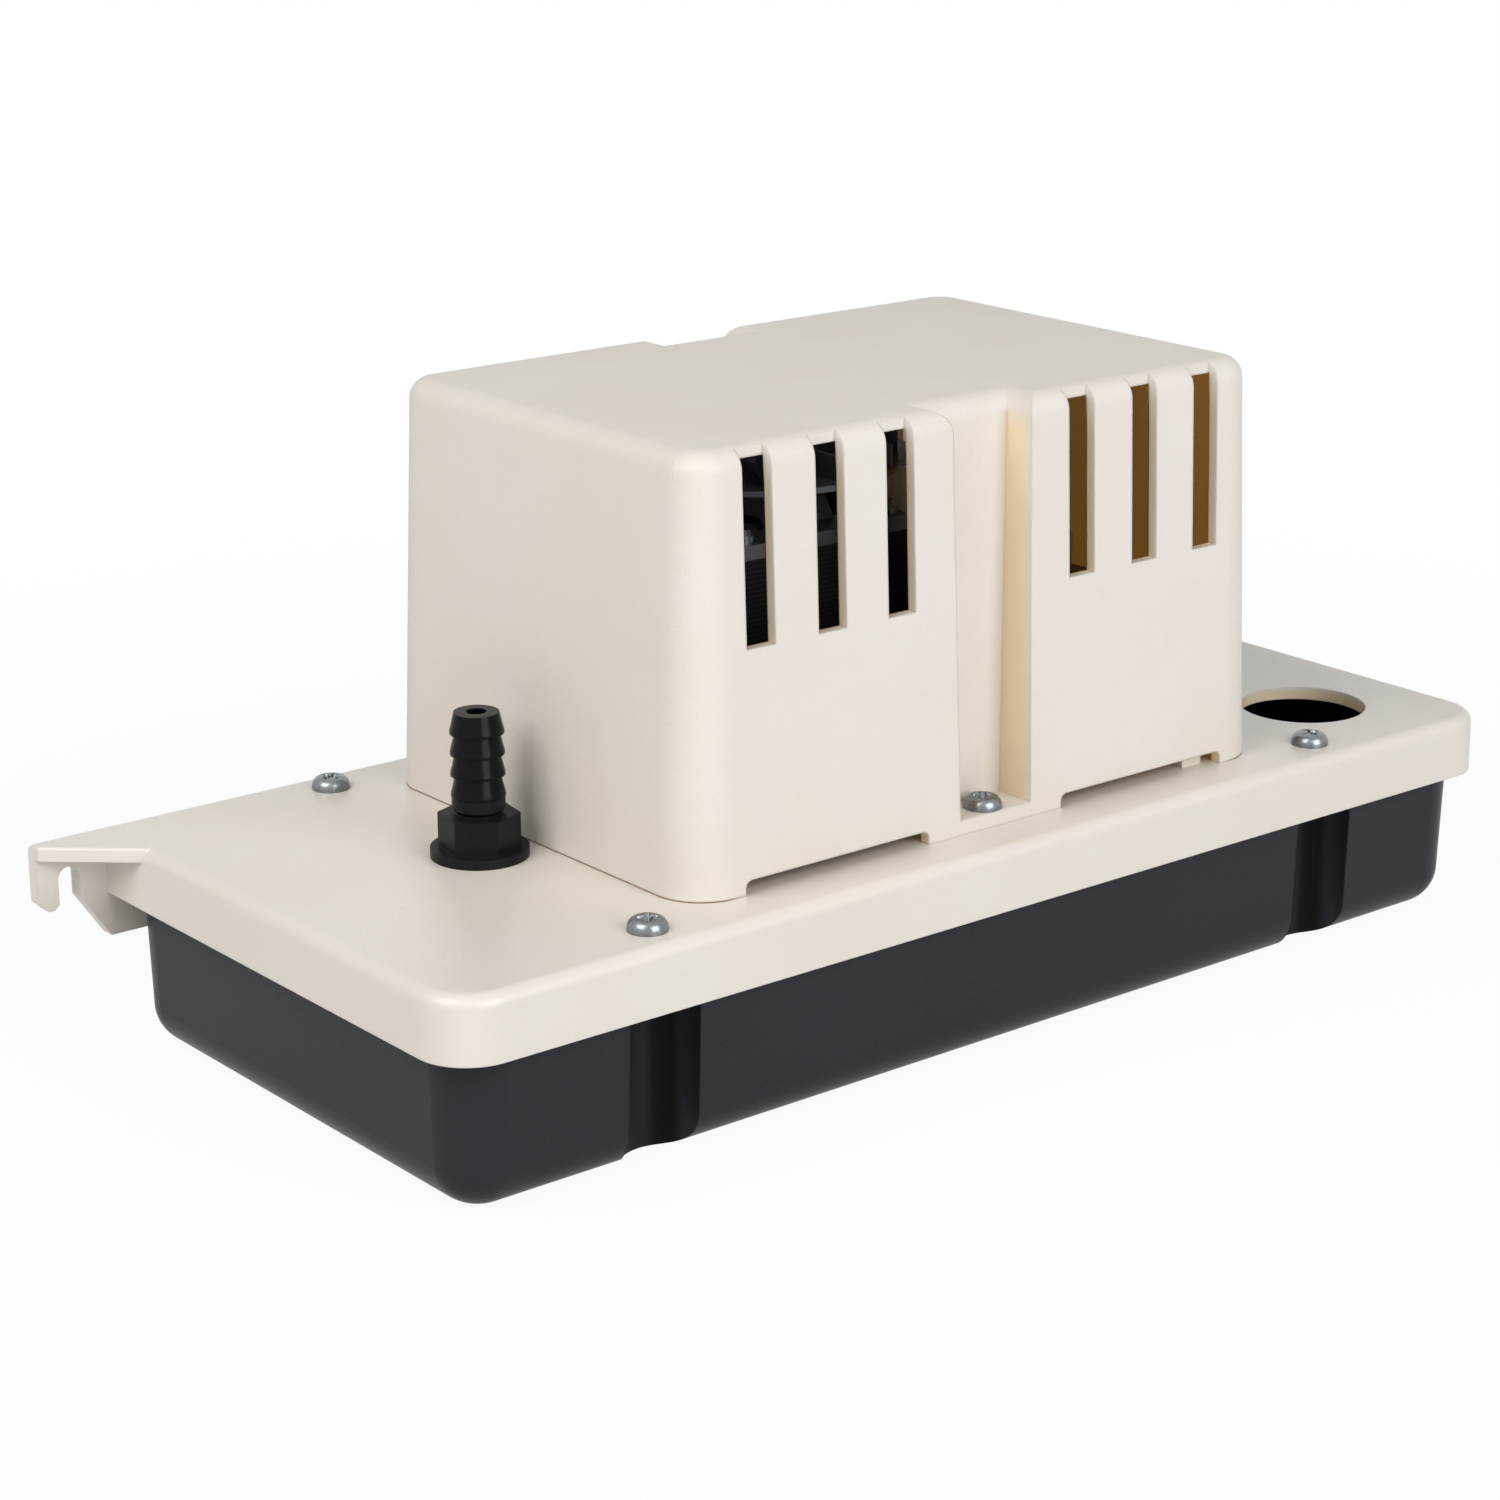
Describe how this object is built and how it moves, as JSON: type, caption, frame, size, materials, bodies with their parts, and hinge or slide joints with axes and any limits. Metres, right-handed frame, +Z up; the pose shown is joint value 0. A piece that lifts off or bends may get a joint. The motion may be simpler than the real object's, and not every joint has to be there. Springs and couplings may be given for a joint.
{
  "type": "condensate pump",
  "caption": "Low black tank under a cream deck with wall-hanger ears, a vented motor housing, an inlet hole and an upright hose barb; pump, motor, float and switches inside.",
  "frame": {"origin": "under the middle of the tank floor, on the surface the tank stands on", "axes": "+X along the tank to the inlet end, +Y to the back with the hanger ears, +Z up"},
  "size_m": [0.3112, 0.1268, 0.1315],
  "materials": {
    "tank_plastic": "satin moulded ABS with a fine grain",
    "cover_plastic": "satin moulded ABS, cream",
    "zinc_steel": "bright zinc plate",
    "zinc_sheet": "zinc-plated sheet",
    "fitting_plastic": "moulded glass-filled nylon, satin black",
    "seal_rubber": "matte nitrile rubber",
    "pump_plastic": "moulded black plastic",
    "tube_vinyl": "soft clear vinyl, slightly cloudy",
    "lamination_steel": "varnished steel laminations",
    "copper": "bare copper",
    "bobbin_nylon": "natural nylon",
    "coil_tape": "black insulating tape",
    "cast_metal": "die-cast, as cast",
    "bronze": "sintered bronze",
    "ground_steel": "ground steel",
    "rotor_steel": "dark steel drum with cast end rings",
    "washer_fibre": "red-brown fibre",
    "fan_plastic": "pale blue-grey moulded plastic",
    "impeller_plastic": "natural acetal",
    "acetal": "natural acetal",
    "float_plastic": "welded plastic float, white",
    "switch_case": "phenolic, black",
    "terminal_brass": "tinned brass",
    "spring_steel": "spring steel strip",
    "button_plastic": "red moulded plastic"
  },
  "bodies": {
    "case": {"tank": "tank_plastic", "deck": "cover_plastic", "motor_housing": "cover_plastic", "deck_screws": "zinc_steel", "housing_screws": "zinc_steel", "outlet_fitting": "fitting_plastic", "valve_gasket": "seal_rubber", "valve_body": "pump_plastic", "pump_casing": "pump_plastic", "suction_cover": "pump_plastic", "discharge_tube": "tube_vinyl", "pump_screws": "zinc_steel", "cover_screws": "zinc_steel", "stator_stack": "lamination_steel", "shading_rings": "copper", "coil_bobbin": "bobbin_nylon", "coil_winding": "coil_tape", "upper_bracket": "cast_metal", "lower_bracket": "cast_metal", "upper_bearing": "bronze", "lower_bearing": "bronze", "motor_screws": "zinc_steel", "float_pin": "ground_steel", "switch_bracket": "zinc_sheet", "bracket_screws": "zinc_steel", "run_switch": "switch_case", "safety_switch": "switch_case", "switch_terminals": "terminal_brass", "switch_screws": "zinc_steel"},
    "rotor": {"motor_shaft": "ground_steel", "rotor_core": "rotor_steel", "thrust_washers": "washer_fibre", "cooling_fan": "fan_plastic", "water_slinger": "seal_rubber", "impeller": "impeller_plastic"},
    "float": {"float_arm": "acetal", "float_block": "float_plastic"},
    "push_rod": {"switch_rod": "acetal"},
    "run_lever": {"run_lever": "spring_steel"},
    "run_button": {"run_button": "button_plastic"},
    "safety_lever": {"safety_lever": "spring_steel"},
    "safety_button": {"safety_button": "button_plastic"},
    "check_ball": {"check_ball": "seal_rubber"}
  },
  "joints": [
    {"name": "motor_spin", "type": "hinge", "parent": "case", "child": "rotor", "pos_m": [-0.022, 0, 0.08], "axis": [0, 0, 1], "continuous": true},
    {"name": "float_swing", "type": "hinge", "parent": "case", "child": "float", "pos_m": [0.03, 0, 0.033], "axis": [0, -1, 0], "range_deg": [0, 15]},
    {"name": "rod_lift", "type": "slide", "parent": "case", "child": "push_rod", "axis": [0, 0, 1], "range_m": [0, 0.0038]},
    {"name": "run_lever_swing", "type": "hinge", "parent": "case", "child": "run_lever", "pos_m": [0.062, -0.00615, 0.0628], "axis": [0, 1, 0], "range_deg": [0, 11.7]},
    {"name": "run_button_press", "type": "slide", "parent": "case", "child": "run_button", "axis": [0, 0, 1], "range_m": [0, 0.0021]},
    {"name": "safety_lever_swing", "type": "hinge", "parent": "case", "child": "safety_lever", "pos_m": [0.062, 0.00615, 0.0628], "axis": [0, 1, 0], "range_deg": [0, 11.7]},
    {"name": "safety_button_press", "type": "slide", "parent": "case", "child": "safety_button", "axis": [0, 0, 1], "range_m": [0, 0.0021]},
    {"name": "ball_lift", "type": "slide", "parent": "case", "child": "check_ball", "axis": [0, 0, 1], "range_m": [0, 0.0025]}
  ],
  "couplings": [
    {"joint": "rod_lift", "follows": "float_swing", "m_per_rad": 0.01401},
    {"joint": "run_lever_swing", "follows": "float_swing", "ratio": 0.76242},
    {"joint": "run_button_press", "follows": "float_swing", "m_per_rad": 0.007725},
    {"joint": "safety_lever_swing", "follows": "float_swing", "ratio": 0.76242},
    {"joint": "safety_button_press", "follows": "float_swing", "m_per_rad": 0.007725}
  ]
}
